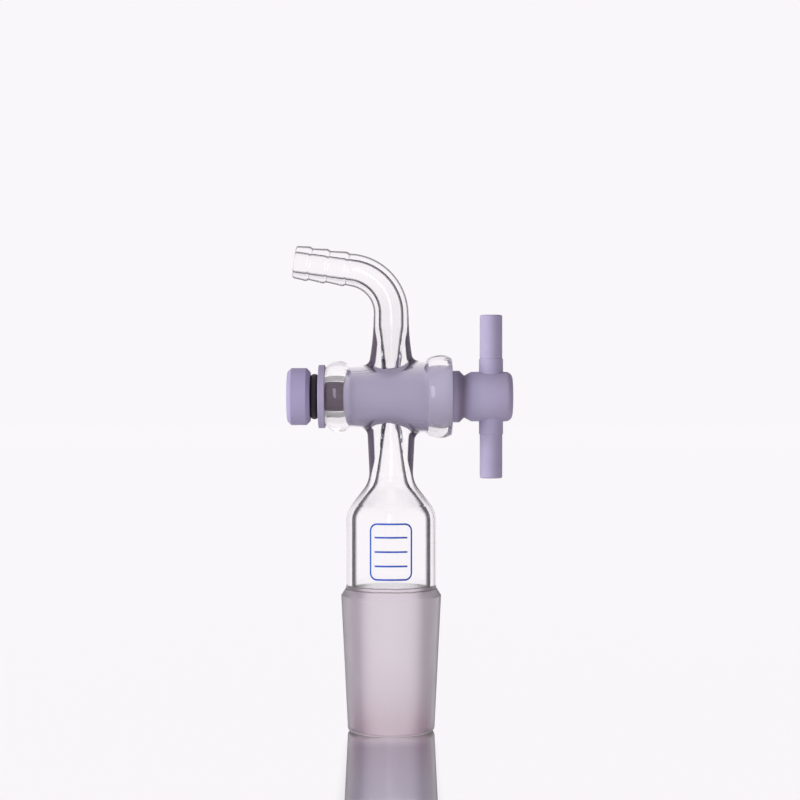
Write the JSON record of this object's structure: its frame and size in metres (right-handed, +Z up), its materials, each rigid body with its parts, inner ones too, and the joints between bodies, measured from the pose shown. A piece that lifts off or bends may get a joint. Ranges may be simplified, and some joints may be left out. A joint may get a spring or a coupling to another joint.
{
  "type": "glass stopcock",
  "caption": "Glass stopcock adapter: hollow ground cone below, bent barbed hose connector above, tapered cross plug with a T-bar handle held by washer, rubber ring and round nut.",
  "frame": {"origin": "centre of the cone's bottom rim, on the upright axis", "axes": "+Z up along the cone, +X along the plug axis towards the handle, the hose connector leaves towards -X"},
  "size_m": [0.0657, 0.0292, 0.1417],
  "materials": {
    "glass": "clear, ground matt on the cone",
    "plug": "turned PTFE",
    "handle": "turned PTFE",
    "washer": "cut PTFE sheet",
    "ring": "moulded rubber",
    "nut": "turned PTFE"
  },
  "bodies": {
    "body": {"glass_body": "glass"},
    "plug": {"plug": "plug", "handle_bar": "handle", "washer": "washer"},
    "ring": {"o_ring": "ring"},
    "nut": {"nut": "nut"}
  },
  "joints": [
    {"name": "plug_turn", "type": "hinge", "parent": "body", "child": "plug", "pos_m": [0, 0, 0.0976], "axis": [1, 0, 0], "continuous": true},
    {"name": "nut_turn", "type": "hinge", "parent": "plug", "child": "ring", "pos_m": [-0.02695, 0, 0.0976], "axis": [-1, 0, 0], "range_deg": [0, 1440]},
    {"name": "nut_travel", "type": "slide", "parent": "ring", "child": "nut", "axis": [-1, 0, 0], "range_m": [0, 0.005]}
  ],
  "couplings": [
    {"joint": "nut_travel", "follows": "nut_turn", "m_per_rad": 0.00019894}
  ]
}
